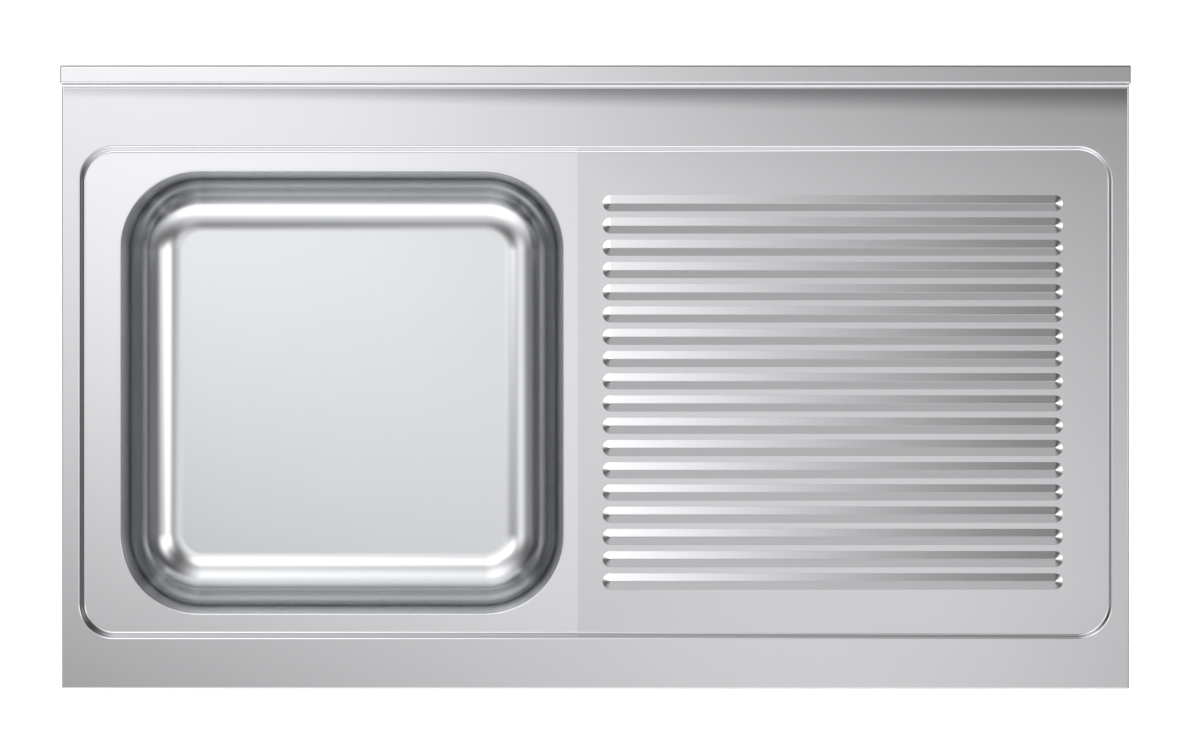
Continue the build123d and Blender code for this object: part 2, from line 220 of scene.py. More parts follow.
# Pressed top with tray, ribs, aprons and return flanges
top = {
    "sheet": 1.2 * mm,
    "edgeRadius": 2 * mm,
    "edgeSteps": 4,
    "flange": 20 * mm,
    "upstandDepth": 20 * mm,
    "footDepth": 5 * mm,  # cove and land between the weld and the upstand's face
    "footClear": 0.1 * mm,
    "traySide": 18.5 * mm,
    "trayFront": 56 * mm,
    "trayRear": 69 * mm,
    "trayRadius": 40 * mm,
    "cornerSteps": 24,
    "dropBowl": 8.5 * mm,
    "dropFar": 4 * mm,
    "riserRadius": 3 * mm,
    "riserTilt": radians(60),
    "riserSteps": 8,
    "riserPasses": 4,  # the wall's run depends on the floor's height where it ends
}
bowl = {
    "sideGap": 46.5 * mm,
    "width": 500 * mm,
    "trayGap": 27.5 * mm,
    "height": 250 * mm,
    "radius": 90 * mm,
    "draft": radians(2),
    "floorRadius": 60 * mm,
    "rimRadius": 2 * mm,
    "rimLand": 1 * mm,
    "rimSteps": 8,
    "floorSteps": 40,
    "cornerSteps": 40,
}
rib = {
    "creaseGap": 15 * mm,
    "startGap": 28 * mm,
    "endGap": 56 * mm,
    "edgeGap": 64 * mm,
    "pitch": 25 * mm,
    "width": 18 * mm,
    "height": 1.7 * mm,
    "ridgeRadius": 4 * mm,
    "footRadius": 3 * mm,
    "steps": 4,
    "endSteps": 16,
    "margin": 5 * mm,  # flat sheet in the tile beyond the ribs' ends
}

sheetLow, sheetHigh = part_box("worktop_sheet")
side, topZ, front = sheetHigh.x, sheetHigh.z, sheetLow.y
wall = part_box("upstand")[1].y
face = wall - top["upstandDepth"]
plateRear = face - top["footDepth"]
trayLeft, trayRight = top["traySide"] - side, side - top["traySide"]
trayFront, trayRear = front + top["trayFront"], face - top["trayRear"]
trayCentre = ((trayLeft + trayRight) / 2, (trayFront + trayRear) / 2)
trayHalf = ((trayRight - trayLeft) / 2, (trayRear - trayFront) / 2)
plateSide, plateFront = side - top["edgeRadius"], front + top["edgeRadius"]
bowlLeft = trayLeft + bowl["sideGap"]
bowlCentre = (bowlLeft + bowl["width"] / 2, trayCentre[1])
bowlHalf = (bowl["width"] / 2, trayHalf[1] - bowl["trayGap"])
rimZ = topZ - top["dropBowl"]
crease = bowlLeft + bowl["width"] + rib["creaseGap"]
fall = atan((top["dropBowl"] - top["dropFar"]) / (trayRight - crease))
ribLeft, ribRight = crease + rib["startGap"], trayRight - rib["endGap"]
ribCount = int((2 * trayHalf[1] - 2 * rib["edgeGap"]) / rib["pitch"]) + 1
fallNormal = Vector((-sin(fall), 0, cos(fall)))
upward = Vector((0, 0, 1))


def trayZ(x):
    return rimZ + max(0, x - crease) * tan(fall)


def trayPoint(x, y):
    return Vector((x, y, trayZ(x)))


# the line where the bowl's rim is welded into the tray
def bowlSeam():
    half = [reach + bowl["rimLand"] for reach in bowlHalf]
    return roundLoop(bowlCentre, half, bowl["radius"] + bowl["rimLand"], bowl["cornerSteps"])


# one rib on its strip of drainer floor, as long as the ribs and one pitch wide, lying on the line y = 0
def ribTile():
    skin = newSkin()
    tilt = atan(rib["height"] / (rib["width"] / 2))
    foot, ridge, steps = rib["footRadius"], rib["ridgeRadius"], rib["steps"]
    footReach = rib["width"] / 2 + foot * tan(tilt / 2)
    profile = []  # distance from the ridge line, height and tilt
    for i in range(steps + 1):
        t = tilt * i / steps
        profile.append((footReach - foot * sin(t), foot * (1 - cos(t)), t))
    for i in range(steps, -1, -1):
        t = tilt * i / steps
        profile.append((ridge * sin(t), rib["height"] - ridge / cos(tilt) + ridge * cos(t), t))
    lengthwise = Vector((cos(fall), 0, sin(fall)))
    start = trayPoint(ribLeft, 0) + lengthwise * rib["width"] / 2
    length = (ribRight - ribLeft) / cos(fall) - rib["width"]
    rows = []
    for reach, height, t in profile:
        row = []
        for end, turn in ((0, pi / 2), (length, -pi / 2)):
            for i in range(rib["endSteps"] + 1):
                a = turn + pi * i / rib["endSteps"]
                out = lengthwise * cos(a) + Vector((0, sin(a), 0))
                spot = start + lengthwise * end + out * reach + fallNormal * height
                row.append((spot, out * sin(t) + fallNormal * cos(t)))
        rows.append(row)
    skinRows(skin, rows)
    half = rib["pitch"] / 2
    low, high = ribLeft - rib["margin"], ribRight + rib["margin"]
    outline = [(low, -half), (high, -half), (high, half), (low, half)]
    footprint = [(p.x, p.y) for p, _ in rows[0]]
    skinFill(skin, [outline, footprint], trayPoint, fallNormal)
    mesh = bpy.data.meshes.new("ribTile")
    skin[0].to_mesh(mesh)
    skin[0].free()
    return bpy.data.objects.new("ribTile", mesh)


# a node with its settings and its inputs; an input is a value or another node's output
def addNode(tree, kind, settings=None, inputs=None):
    node = tree.nodes.new(kind)
    for key, value in (settings or {}).items():
        setattr(node, key, value)
    for key, value in (inputs or {}).items():
        socket = node.inputs[key]
        if isinstance(value, bpy.types.NodeSocket):
            tree.links.new(value, socket)
        else:
            socket.default_value = value
    return node


# a geometry tree with named inputs: (name, socket kind)
def geometryTree(name, inputs):
    tree = bpy.data.node_groups.new(name, "GeometryNodeTree")
    tree.interface.new_socket("Geometry", in_out="INPUT", socket_type="NodeSocketGeometry")
    for label, kind in inputs:
        tree.interface.new_socket(label, in_out="INPUT", socket_type=kind)
    tree.interface.new_socket("Geometry", in_out="OUTPUT", socket_type="NodeSocketGeometry")
    return tree, addNode(tree, "NodeGroupInput").outputs


# a tree's end: the copies made real, and given their finish
def endTree(tree, copies, given):
    plain = addNode(tree, "GeometryNodeRealizeInstances", inputs={"Geometry": copies.outputs[0]})
    finish = {"Geometry": plain.outputs[0], "Material": given["Finish"]}
    dressed = addNode(tree, "GeometryNodeSetMaterial", inputs=finish)
    addNode(tree, "NodeGroupOutput", inputs={"Geometry": dressed.outputs[0]})


# runs a tree on an object with the given inputs and returns the plain mesh that it makes
def treeMesh(tree, host, values):
    bpy.context.scene.collection.objects.link(host)
    modifier = host.modifiers.new("tree", "NODES")
    modifier.node_group = tree
    for item in tree.interface.items_tree:
        if item.item_type == "SOCKET" and item.in_out == "INPUT" and item.name in values:
            modifier[item.identifier] = values[item.name]
    graph = bpy.context.evaluated_depsgraph_get()
    solved = host.evaluated_get(graph)
    mesh = bpy.data.meshes.new_from_object(solved, preserve_all_data_layers=True, depsgraph=graph)
    bpy.data.objects.remove(host)
    return mesh


# the ribs: one tile repeated at the pitch across the drainer
def ribField():
    tile = ribTile()
    sizes = [("Ribs", "NodeSocketInt"), ("Pitch", "NodeSocketFloat"), ("First", "NodeSocketFloat")]
    tree, given = geometryTree("ribField", sizes + [("Finish", "NodeSocketMaterial")])
    step = addNode(tree, "ShaderNodeCombineXYZ", inputs={"Y": given["Pitch"]})
    begin = addNode(tree, "ShaderNodeCombineXYZ", inputs={"Y": given["First"]})
    run = {"Count": given["Ribs"], "Start Location": begin.outputs[0], "Offset": step.outputs[0]}
    line = addNode(tree, "GeometryNodeMeshLine", {"mode": "OFFSET"}, run)
    one = addNode(tree, "GeometryNodeObjectInfo", inputs={"Object": tile})
    copies = {"Points": line.outputs[0], "Instance": one.outputs["Geometry"]}
    many = addNode(tree, "GeometryNodeInstanceOnPoints", inputs=copies)
    endTree(tree, many, given)
    first = trayCentre[1] - (ribCount - 1) / 2 * rib["pitch"]
    host = bpy.data.objects.new("ribField", bpy.data.meshes.new("ribField"))
    values = {"Ribs": ribCount, "Pitch": rib["pitch"], "First": first, "Finish": satinDrainer}
    mesh = treeMesh(tree, host, values)
    bpy.data.objects.remove(tile)
    return mesh


# tray's wall: a round over the edge, a slope and a round into the floor; gives its upper and lower edge
def trayWall(skin):
    wallTilt, radius, steps = top["riserTilt"], top["riserRadius"], top["riserSteps"]
    outline = roundLoop(trayCentre, trayHalf, top["trayRadius"], top["cornerSteps"], stops=(crease,))
    riser = [[] for _ in range(2 * steps + 2)]
    for x, y, nx, ny in outline:
        run = 0
        for _ in range(top["riserPasses"]):
            drop = topZ - trayZ(x - nx * run)
            run = 2 * radius * sin(wallTilt) + (drop - 2 * radius * (1 - cos(wallTilt))) / tan(wallTilt)
        for i in range(steps + 1):
            t = wallTilt * i / steps
            normal = Vector((-nx * sin(t), -ny * sin(t), cos(t)))
            reach, dip = radius * sin(t), radius * (1 - cos(t))
            riser[i].append((Vector((x - nx * reach, y - ny * reach, topZ - dip)), normal))
            reach, dip = run - reach, drop - dip
            riser[-1 - i].append((Vector((x - nx * reach, y - ny * reach, topZ - dip)), normal))
    skinRows(skin, riser)
    return [[(p.x, p.y) for p, _ in row] for row in (riser[0], riser[-1])]


# border between the tray's mouth and the bends
def plateBorder(skin, mouth):
    border = [(-plateSide, plateRear), (-plateSide, plateFront)]
    border += [(plateSide, plateFront), (plateSide, plateRear)]
    skinFill(skin, [border, mouth], lambda x, y: Vector((x, y, topZ)), upward)


# level floor round the bowl, and sloping floor round the block of rib tiles
def trayFloor(skin, foot):
    level = [p for p in foot if p[0] < crease + tolerance["near"]]
    slope = [p for p in foot if p[0] > crease - tolerance["near"]]
    skinFill(skin, [level, [p[:2] for p in bowlSeam()]], trayPoint, upward)
    low, high = ribLeft - rib["margin"], ribRight + rib["margin"]
    lines = [trayCentre[1] + (i - ribCount / 2) * rib["pitch"] for i in range(ribCount + 1)]
    block = [(low, y) for y in lines] + [(high, y) for y in reversed(lines)]
    skinFill(skin, [slope, block], trayPoint, fallNormal)


# aprons: a bend, the face and a bend under, round three sides; rearStops divide their rear ends
def aprons(skin, rearStops):
    edge, steps = top["edgeRadius"], top["edgeSteps"]
    path = [(-plateSide, y, -1, 0) for y in rearStops]
    for sx, start in ((-1, pi), (1, 1.5 * pi)):
        for i in range(steps + 1):
            turn = start + pi / 2 * i / steps
            path.append((sx * plateSide, plateFront, cos(turn), sin(turn)))
    path += [(plateSide, y, 1, 0) for y in reversed(rearStops)]
    rows = []
    for i in range(steps + 1):
        t = pi / 2 * i / steps
        rows.append((edge * sin(t), topZ - edge * (1 - cos(t)), t))
    for i in range(steps + 1):
        t = pi / 2 + pi / 2 * i / steps
        rows.append((edge * sin(t), edge * (1 + cos(t)), t))
    underFoot = topZ - top["sheet"] - top["footClear"]
    for (s0, z0, t0), (s1, z1, t1) in zip(rows, rows[1:]):
        for (x0, y0, nx0, ny0), (x1, y1, nx1, ny1) in zip(path, path[1:]):
            if max(y0, y1) > plateRear + tolerance["near"] and z0 > underFoot:
                continue  # the upstand's foot lies here
            corners = []
            for x, y, nx, ny, s, z, t in (
                (x0, y0, nx0, ny0, s0, z0, t0),
                (x1, y1, nx1, ny1, s0, z0, t0),
                (x1, y1, nx1, ny1, s1, z1, t1),
                (x0, y0, nx0, ny0, s1, z1, t1),
            ):
                spot = Vector((x + nx * s, y + ny * s, z))
                corners.append((spot, Vector((nx * sin(t), ny * sin(t), cos(t)))))
            skinFace(skin, corners)


def returnFlanges(skin, rearStops):
    inner, innerFront = side - top["flange"], front + top["flange"]
    flange = [(-plateSide, y) for y in rearStops[1:]] + [(-plateSide, plateFront), (plateSide, plateFront)]
    flange += [(plateSide, y) for y in rearStops[:0:-1]]
    flange += [(inner, face), (inner, innerFront), (-inner, innerFront), (-inner, face)]
    skinFill(skin, [flange], lambda x, y: Vector((x, y, 0)), -upward)


def buildWorktop():
    skin = newSkin(ribField())
    mouth, foot = trayWall(skin)
    plateBorder(skin, mouth)
    trayFloor(skin, foot)
    rearStops = [wall - top["sheet"], face, plateRear]
    aprons(skin, rearStops)
    returnFlanges(skin, rearStops)
    return sheetObject("worktopSheet", skin, top["sheet"])


def buildBowl():
    skin = newSkin()
    steepest = pi / 2 - bowl["draft"]
    profile = [(-bowl["rimLand"], 0, 0)]  # distance inside the outline, depth and tilt
    for i in range(bowl["rimSteps"] + 1):
        t = steepest * i / bowl["rimSteps"]
        profile.append((bowl["rimRadius"] * sin(t), bowl["rimRadius"] * (1 - cos(t)), t))
    sharp = bowl["rimRadius"] * tan(steepest / 2)
    floorReach = sharp + bowl["height"] * tan(bowl["draft"]) + bowl["floorRadius"] * tan(steepest / 2)
    for i in range(bowl["floorSteps"], -1, -1):
        t = steepest * i / bowl["floorSteps"]
        depth = bowl["height"] - bowl["floorRadius"] * (1 - cos(t))
        profile.append((floorReach - bowl["floorRadius"] * sin(t), depth, t))
    rows = []
    for reach, depth, t in profile:
        half = (bowlHalf[0] - reach, bowlHalf[1] - reach)
        row = []
        for x, y, nx, ny in roundLoop(bowlCentre, half, bowl["radius"] - reach, bowl["cornerSteps"]):
            row.append((Vector((x, y, rimZ - depth)), Vector((-nx * sin(t), -ny * sin(t), cos(t)))))
        rows.append(row)
    skinRows(skin, rows)
    floorZ = rimZ - bowl["height"]
    skinFill(skin, [[(p.x, p.y) for p, _ in rows[-1]]], lambda x, y: Vector((x, y, floorZ)), upward)
    return sheetObject("bowlShell", skin, top["sheet"])


# Upstand: one strip folded from the weld, up the face, over the top and down the back
upstand = {
    "coveRadius": 4 * mm,
    "foldRadius": 2 * mm,
    "rearFlange": 12 * mm,
    "flangeGap": 2.3 * mm,
    "endSeam": 1 * mm,  # width of the ground seam of the end plates
    "cornerFacing": (0.2, 0.1),  # the rear fold, which gets a painted shade, faces at least this far to the rear and up
    "steps": 6,
}


# points of a bent line with their normals: corners are (y, z, radius), and the normal lies to the left
def bentLine(corners, steps):
    found = []
    for i, (y, z, radius) in enumerate(corners):
        here = Vector((y, z))
        if i in (0, len(corners) - 1):
            other = Vector(corners[1][:2] if i == 0 else corners[-2][:2])
            way = (other - here if i == 0 else here - other).normalized()
            found.append((here, Vector((-way.y, way.x))))
            continue
        before = (here - Vector(corners[i - 1][:2])).normalized()
        after = (Vector(corners[i + 1][:2]) - here).normalized()
        bend = atan2(before.x * after.y - before.y * after.x, before.dot(after))
        sign = 1 if bend > 0 else -1
        left = Vector((-before.y, before.x))
        centre = here - before * radius * tan(abs(bend) / 2) + left * radius * sign
        for k in range(steps + 1):
            a = bend * k / steps
            normal = Vector((left.x * cos(a) - left.y * sin(a), left.x * sin(a) + left.y * cos(a)))
            found.append((centre - normal * radius * sign, normal))
    return found


def buildUpstand():
    skin = newSkin()
    low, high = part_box("upstand")
    fold = upstand["foldRadius"]
    corners = [
        (plateRear, topZ, 0),
        (face, topZ, upstand["coveRadius"]),
        (face, high.z, fold),
        (wall, high.z, fold),
        (wall, 0, fold),
        (wall - top["sheet"] - upstand["rearFlange"], 0, 0),
    ]
    line = bentLine(corners, upstand["steps"])
    flangeStart = len(line) - 2 - upstand["steps"] // 2
    seams = [side, side - upstand["endSeam"], side - upstand["flangeGap"]]
    columns = [-x for x in seams] + seams[::-1]
    for x0, x1 in zip(columns, columns[1:]):
        for i, ((a, na), (b, nb)) in enumerate(zip(line, line[1:])):
            if i >= flangeStart and x1 - x0 < upstand["flangeGap"]:
                continue  # the side aprons' bends lie here
            corners = [(x0, a, na), (x1, a, na), (x1, b, nb), (x0, b, nb)]
            skinFace(skin, [(Vector((x, p.x, p.y)), Vector((0, n.x, n.y))) for x, p, n in corners])
    return sheetObject("upstandSheet", skin, top["sheet"])


# Small parts under the top. The dictionary's sizes are those of the CAD part's M6 fasteners and brims.
fastener = {
    "thread": 6 * mm,
    "pitch": 1 * mm,
    "threadDepth": 0.55 * mm,
    "rowsPerTurn": 6,
    "across": 10 * mm,
    "headHeight": 4 * mm,
    "cornerTurn": radians(30),
    "hole": 6.2 * mm,
    "washer": 12 * mm,
    "washerHole": 6.5 * mm,
    "edge": 0.3 * mm,
    "around": 48,
    "sharp": radians(35),  # edges that turn more than this look sharp
}
weld = {
    "beadWidth": 3 * mm,
    "beadDepth": 0.7 * mm,
    "beadSpacing": 1.5 * mm,
    "beadTurns": (0.35, 0.8, 1.2, pi / 2),  # angles on the ripple's round, from its bottom up
    "beadNeck": (0.9, 0.1 * mm),  # share of its width and depth where it runs into the sheet
    "beadSides": 10,
    "spot": 5 * mm,
    "spotHeight": 0.15 * mm,
    "spotShape": ((0.35, 0.3), (0.7, 1), (0.85, 1), (1, 0)),  # shares of its radius and height
    "spotSides": 16,
    "spotSpacing": 60 * mm,
    "spotEnd": 25 * mm,
    "railBrim": 11 * mm,
    "channelBrim": 12 * mm,
    "brimSheet": 1.5 * mm,
}


# a part about the z axis: each row gives its radius and height for an angle, up the outside and
# down the bore
def turnedPart(name, rows, around, bored=False):
    bm = bmesh.new()
    rings = []
    for row in rows:
        ring = []
        for i in range(around):
            a = 2 * pi * i / around
            radius, height = row(a) if callable(row) else row
            ring.append(bm.verts.new((radius * cos(a), radius * sin(a), height)))
        rings.append(ring)
    for low, high in zip(rings, rings[1:] + rings[:1] if bored else rings[1:]):
        for i in range(around):
            j = (i + 1) % around
            bm.faces.new((low[i], low[j], high[j], high[i]))
    if not bored:
        bm.faces.new(rings[0][::-1])
        bm.faces.new(rings[-1])
    mesh = bpy.data.meshes.new(name)
    bm.to_mesh(mesh)
    bm.free()
    mesh.shade_smooth()
    mesh.set_sharp_from_angle(angle=fastener["sharp"])
    return bpy.data.objects.new(name, mesh)


# a rolled thread that runs out in a chamfer at both ends
def threadRows(length):
    core = fastener["thread"] / 2 - fastener["threadDepth"]

    def row(height):
        nearEnd = min(height, length - height)

        def point(a):
            crest = (0.5 + 0.5 * cos(2 * pi * height / fastener["pitch"] - a)) * fastener["threadDepth"]
            return core + min(crest, nearEnd), height

        return point

    count = round(length / fastener["pitch"] * fastener["rowsPerTurn"])
    return [row(length * i / count) for i in range(count + 1)]


# a hexagon between two heights, with its corners turned off at the top, and at the foot too if asked
def hexRows(low, high, bothEnds=True):
    flat = fastener["across"] / 2
    step = pi / 3

    def reach(a):
        return flat / cos((a + tolerance["near"]) % step - step / 2)

    def fallOff(a):
        return max(0, reach(a) - flat) * tan(fastener["cornerTurn"])

    rows = [lambda a: (min(reach(a), flat), low), lambda a: (reach(a), low + fallOff(a))]
    if not bothEnds:
        rows = [lambda a: (reach(a), low)]
    return rows + [lambda a: (reach(a), high - fallOff(a)), lambda a: (min(reach(a), flat), high)]


def boredRows(radius, low, high):
    edge = fastener["edge"]
    return [(radius + edge, high), (radius, high - edge), (radius, low + edge), (radius + edge, low)]


def nutRows(thickness):
    return hexRows(0, thickness) + boredRows(fastener["hole"] / 2, 0, thickness)


def washerRows(low, high):
    edge, outer = fastener["edge"], fastener["washer"] / 2
    rows = [(outer - edge, low), (outer, low + edge), (outer, high - edge), (outer - edge, high)]
    return rows + boredRows(fastener["washerHole"] / 2, low, high)


# copies of a part on the host's points, or evenly spaced along its edges and turned with them
def repeatTree(name, alongEdges):
    sizes = [("Part", "NodeSocketObject"), ("Finish", "NodeSocketMaterial")]
    if alongEdges:
        sizes.append(("Spacing", "NodeSocketFloat"))
    tree, given = geometryTree(name, sizes)
    one = addNode(tree, "GeometryNodeObjectInfo", inputs={"Object": given["Part"]})
    copies = {"Points": given["Geometry"], "Instance": one.outputs["Geometry"]}
    if alongEdges:
        line = addNode(tree, "GeometryNodeMeshToCurve", inputs={"Mesh": given["Geometry"]})
        spread = {"Curve": line.outputs[0], "Length": given["Spacing"]}
        even = addNode(tree, "GeometryNodeResampleCurve", {"mode": "LENGTH"}, spread)
        along = {"Vector": addNode(tree, "GeometryNodeInputTangent").outputs[0]}
        axes = {"axis": "X", "pivot_axis": "Z"}
        turn = addNode(tree, "FunctionNodeAlignRotationToVector", axes, along)
        copies.update({"Points": even.outputs[0], "Rotation": turn.outputs[0]})
    many = addNode(tree, "GeometryNodeInstanceOnPoints", inputs=copies)
    endTree(tree, many, given)
    return tree


# host mesh with points, and edges between those that follow each other in a line
def hostObject(name, lines):
    bm = bmesh.new()
    for line, closed in lines:
        points = [bm.verts.new(p) for p in line]
        for a, b in zip(points, points[1:] + points[:1] if closed else points[1:]):
            bm.edges.new((a, b))
    mesh = bpy.data.meshes.new(name)
    bm.to_mesh(mesh)
    bm.free()
    return bpy.data.objects.new(name, mesh)


def pieceFrom(name, mesh):
    mesh.name = name
    piece = bpy.data.objects.new(name, mesh)
    bpy.context.scene.collection.objects.link(piece)
    return piece


# the same fastener under all four corners
def cornerFasteners(name, node, makeRows, bored):
    low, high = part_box(node)
    part = turnedPart(name + "Pattern", makeRows(high.z - low.z), fastener["around"], bored)
    spots = [(x, y, low.z) for x, y in cornerSpots]
    host = hostObject(name, [([spot], False) for spot in spots])
    mesh = treeMesh(pointTree, host, {"Part": part, "Finish": zinc})
    bpy.data.objects.remove(part)
    return pieceFrom(name, mesh)


# Materials. Object coordinates are in metres, so a noise scale of 1 / size gives spots of that size.
def linearColour(code):
    parts = [int(code[i : i + 2], 16) / 255 for i in (0, 2, 4)]
    return (*(c / 12.92 if c <= 0.04045 else ((c + 0.055) / 1.055) ** 2.4 for c in parts), 1)


def newMaterial(name, **shaderInputs):
    material = bpy.data.materials.new(name)
    material.use_nodes = True
    tree = material.node_tree
    shader = tree.nodes["Principled BSDF"]
    for key, value in shaderInputs.items():
        shader.inputs[key].default_value = value
    place = addNode(tree, "ShaderNodeTexCoord").outputs["Object"]
    return material, tree, shader, place


# colours the surface between two colours by a factor
def mixColours(material, factor, first, second):
    tree = material.node_tree
    colours = {"Factor": factor, 6: first, 7: second}  # 6 and 7 are the two colour sockets
    blend = addNode(tree, "ShaderNodeMix", {"data_type": "RGBA"}, colours)
    tree.links.new(blend.outputs[2], tree.nodes["Principled BSDF"].inputs["Base Color"])


# austenitic stainless sheet with a fine satin grind: soft even reflections with a faint grain, drawn
# coarser than a real grind so that it shows at all
def satinStainless(name, steel, roughness=0.14, grainDepth=0.012 * mm):
    look = {"grain": 1.6 * mm, "cloud": 90 * mm, "unevenness": 0.015}
    material, tree, shader, place = newMaterial(name, Metallic=1)
    shader.inputs["Base Color"].default_value = linearColour(steel)
    fine = {"Vector": place, "Scale": 1 / look["grain"], "Detail": 2}
    grain = addNode(tree, "ShaderNodeTexNoise", inputs=fine)
    broad = {"Vector": place, "Scale": 1 / look["cloud"], "Detail": 3}
    cloud = addNode(tree, "ShaderNodeTexNoise", inputs=broad)
    limits = {"To Min": roughness - look["unevenness"], "To Max": roughness + look["unevenness"]}
    soft = addNode(tree, "ShaderNodeMapRange", inputs={"Value": cloud.outputs["Fac"], **limits})
    tree.links.new(soft.outputs[0], shader.inputs["Roughness"])
    relief = {"Height": grain.outputs["Fac"], "Distance": grainDepth, "Strength": 0.5}
    bump = addNode(tree, "ShaderNodeBump", inputs=relief)
    tree.links.new(bump.outputs[0], shader.inputs["Normal"])
    return material


# a drawn wall is ground less finely than a flat floor, so the steeper it is the duller it gets
def dullOnWalls(material):
    look = {"floor": 0.95, "wall": 0.6, "extra": 0.02}  # how far up the normal points, and roughness
    tree = material.node_tree
    shader = tree.nodes["Principled BSDF"]
    fine = shader.inputs["Roughness"].links[0].from_socket
    facing = addNode(tree, "ShaderNodeNewGeometry").outputs["Normal"]
    upright = addNode(tree, "ShaderNodeSeparateXYZ", inputs={"Vector": facing}).outputs["Z"]
    limits = {"From Min": look["floor"], "From Max": look["wall"], "To Min": 0, "To Max": look["extra"]}
    more = addNode(tree, "ShaderNodeMapRange", inputs={"Value": upright, **limits})
    dull = addNode(tree, "ShaderNodeMath", {"operation": "ADD"}, {0: fine, 1: more.outputs[0]})
    tree.links.new(dull.outputs[0], shader.inputs["Roughness"])
    return material


# painted shade in front of the upstand: the sheet's colour darkens towards the upstand's foot, where
# its shade falls, the more so and the wider to the right
def paintShadeAtUpstand(material):
    look = {"upstandShade": "848486", "reach": (12 * mm, 36 * mm), "amount": (0.3, 1.0)}
    tree = material.node_tree
    shader = tree.nodes["Principled BSDF"]
    steel = tuple(shader.inputs["Base Color"].default_value)
    place = addNode(tree, "ShaderNodeTexCoord").outputs["Object"]
    spot = addNode(tree, "ShaderNodeSeparateXYZ", inputs={"Vector": place}).outputs
    away = addNode(tree, "ShaderNodeMath", {"operation": "SUBTRACT"}, {0: plateRear, 1: spot["Y"]})
    wide = {"From Min": -side, "From Max": side, "To Min": look["reach"][0], "To Max": look["reach"][1]}
    reach = addNode(tree, "ShaderNodeMapRange", inputs={"Value": spot["X"], **wide})
    share = {0: away.outputs[0], 1: reach.outputs[0]}
    ratio = addNode(tree, "ShaderNodeMath", {"operation": "DIVIDE"}, share)
    easing = {"Value": ratio.outputs[0], "To Min": 1, "To Max": 0}
    fade = addNode(tree, "ShaderNodeMapRange", {"interpolation_type": "SMOOTHSTEP"}, easing)
    strong = {"From Min": -side, "From Max": 0, "To Min": look["amount"][0], "To Max": look["amount"][1]}
    amount = addNode(tree, "ShaderNodeMapRange", inputs={"Value": spot["X"], **strong})
    both = {0: fade.outputs[0], 1: amount.outputs[0]}
    dark = addNode(tree, "ShaderNodeMath", {"operation": "MULTIPLY"}, both)
    mixColours(material, dark.outputs[0], steel, linearColour(look["upstandShade"]))
    return material


# steel with the heat tint of a TIG weld brushed after welding: a little browner and duller
def weldedSteel():
    look = {"pale": "b9b4ab", "tint": "94836b", "patch": 6 * mm}
    material, tree, shader, place = newMaterial("weldedSteel", Metallic=1, Roughness=0.38)
    spots = {"Vector": place, "Scale": 1 / look["patch"], "Detail": 2}
    patch = addNode(tree, "ShaderNodeTexNoise", inputs=spots)
    mixColours(material, patch.outputs["Fac"], linearColour(look["pale"]), linearColour(look["tint"]))
    return material


# hot-dip galvanised sheet: spangles about 9 mm across that differ in tone and dullness
def galvanisedSteel():
    look = {"dark": "8f9497", "light": "b9bdbf", "spangle": 9 * mm, "dull": (0.34, 0.52)}
    pit = {"size": 0.7 * mm, "depth": 0.03 * mm}
    material, tree, shader, place = newMaterial("galvanisedSteel", Metallic=1)
    grains = {"Vector": place, "Scale": 1 / look["spangle"]}
    spangle = addNode(tree, "ShaderNodeTexVoronoi", inputs=grains)
    tone = addNode(tree, "ShaderNodeSeparateColor", inputs={"Color": spangle.outputs["Color"]})
    mixColours(material, tone.outputs["Red"], linearColour(look["dark"]), linearColour(look["light"]))
    limits = {"To Min": look["dull"][0], "To Max": look["dull"][1]}
    soft = addNode(tree, "ShaderNodeMapRange", inputs={"Value": tone.outputs["Green"], **limits})
    tree.links.new(soft.outputs[0], shader.inputs["Roughness"])
    fine = {"Vector": place, "Scale": 1 / pit["size"], "Detail": 2}
    pits = addNode(tree, "ShaderNodeTexNoise", inputs=fine)
    relief = {"Height": pits.outputs["Fac"], "Distance": pit["depth"], "Strength": 0.5}
    bump = addNode(tree, "ShaderNodeBump", inputs=relief)
    tree.links.new(bump.outputs[0], shader.inputs["Normal"])
    return material


# zinc-plated fastener steel: bright, slightly blue, with faint drum-tumbling marks
def brightZinc():
    look = {"zinc": "c3c9cf", "marks": 0.5 * mm, "depth": 0.02 * mm, "bright": (0.2, 0.34)}
    material, tree, shader, place = newMaterial("brightZinc", Metallic=1)
    shader.inputs["Base Color"].default_value = linearColour(look["zinc"])
    fine = {"Vector": place, "Scale": 1 / look["marks"], "Detail": 3}
    marks = addNode(tree, "ShaderNodeTexNoise", inputs=fine)
    limits = {"To Min": look["bright"][0], "To Max": look["bright"][1]}
    soft = addNode(tree, "ShaderNodeMapRange", inputs={"Value": marks.outputs["Fac"], **limits})
    tree.links.new(soft.outputs[0], shader.inputs["Roughness"])
    relief = {"Height": marks.outputs["Fac"], "Distance": look["depth"], "Strength": 0.4}
    bump = addNode(tree, "ShaderNodeBump", inputs=relief)
    tree.links.new(bump.outputs[0], shader.inputs["Normal"])
    return material


